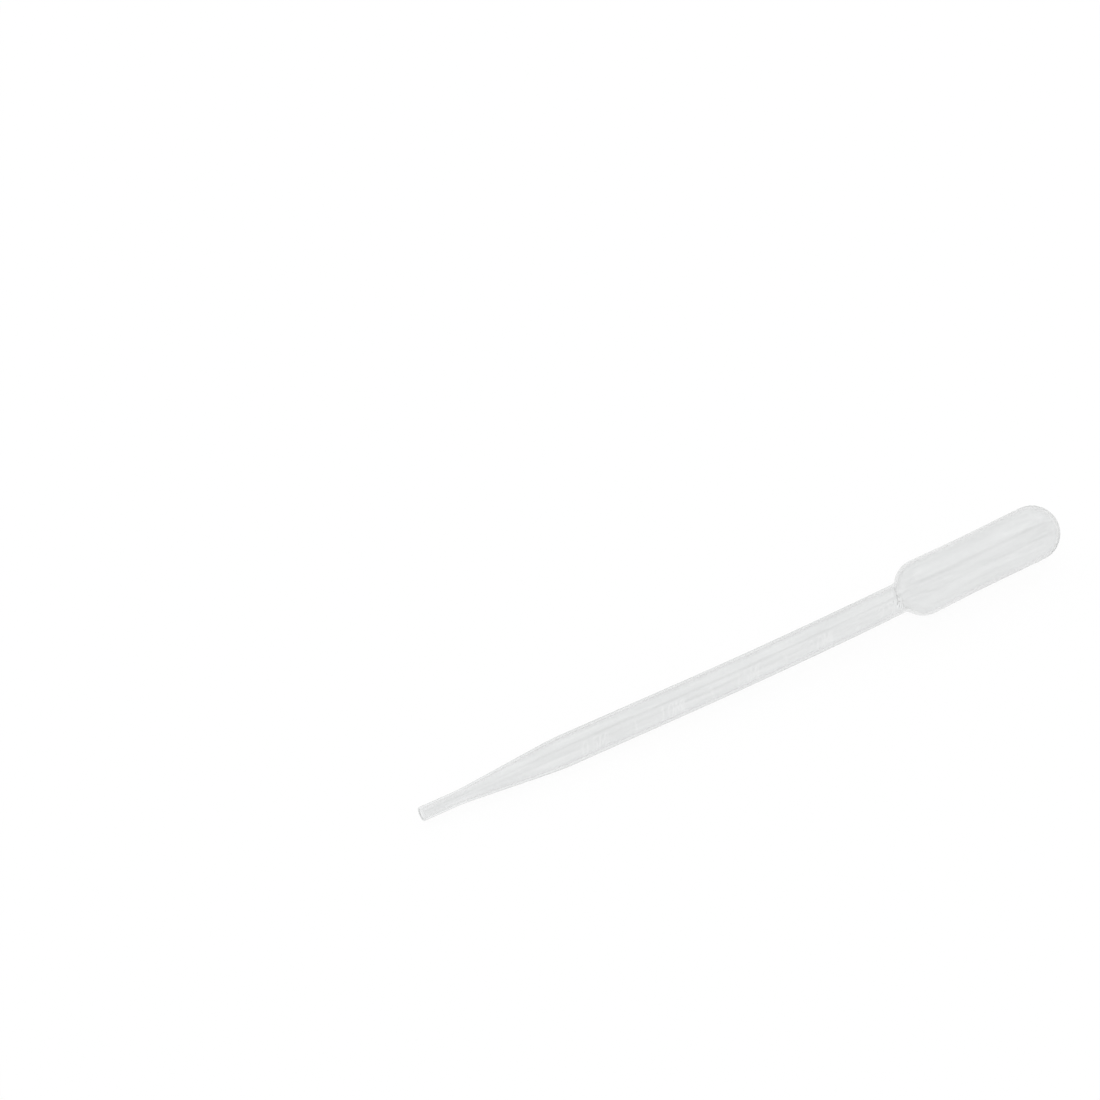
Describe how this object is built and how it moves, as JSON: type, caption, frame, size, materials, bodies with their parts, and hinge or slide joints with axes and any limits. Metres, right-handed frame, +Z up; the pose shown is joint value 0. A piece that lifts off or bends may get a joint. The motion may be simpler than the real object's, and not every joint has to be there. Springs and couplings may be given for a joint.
{
  "type": "plastic dropper pipette",
  "caption": "Graduated one-piece plastic dropper pipette with a squeeze bulb, a slim stem and an open drawn-out tip, lying on its side.",
  "frame": {"origin": "on the surface that the pipette lies on, under the middle of its box", "axes": "+X from the open tip towards the bulb, +Z up, with the raised graduations on the -Y side"},
  "size_m": [0.16, 0.0138, 0.0134],
  "materials": {
    "milky_plastic": "milky translucent soft polyethylene, faintly glossy"
  },
  "bodies": {
    "root": {"pipette": "milky_plastic"}
  },
  "joints": []
}
